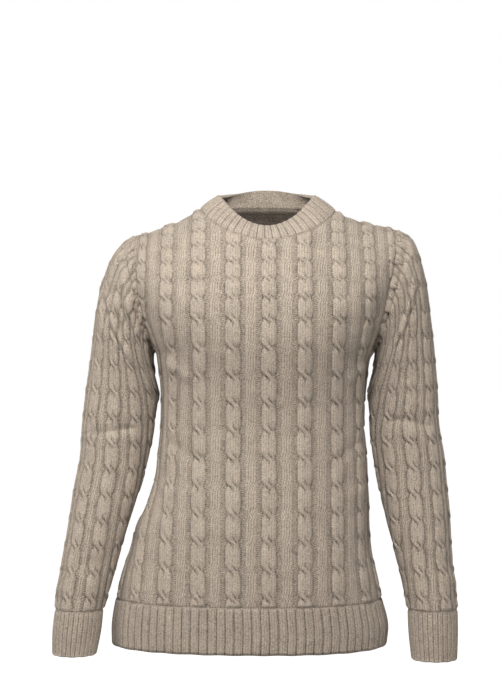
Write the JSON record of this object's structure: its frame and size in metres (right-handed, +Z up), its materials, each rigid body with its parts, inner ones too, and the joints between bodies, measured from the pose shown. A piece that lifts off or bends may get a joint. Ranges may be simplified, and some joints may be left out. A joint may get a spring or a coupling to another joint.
{
  "type": "cable knit sweater",
  "caption": "Fitted pullover sweater in worn shape, knitted in twisted cables and ribs, with a round ribbed neckband, long set-in sleeves, ribbed cuffs and a ribbed hem; hollow and open.",
  "frame": {"origin": "middle of the neck opening at the height of the shoulders, where the sweater is held when worn", "axes": "+Z up to the neckband, -Y towards the front of the sweater, +X towards the right-hand sleeve as seen from the front"},
  "size_m": [0.5584, 0.2452, 0.6531],
  "materials": {
    "cable_knit": "matte knitted wool",
    "ribbing": "matte ribbed wool"
  },
  "bodies": {
    "root": {"front_panel": "cable_knit", "back_panel": "cable_knit", "sleeve_left": "cable_knit", "sleeve_right": "cable_knit", "neckband": "ribbing", "hem_rib_front": "ribbing", "hem_rib_back": "ribbing", "cuff_left": "ribbing", "cuff_right": "ribbing"}
  },
  "joints": []
}
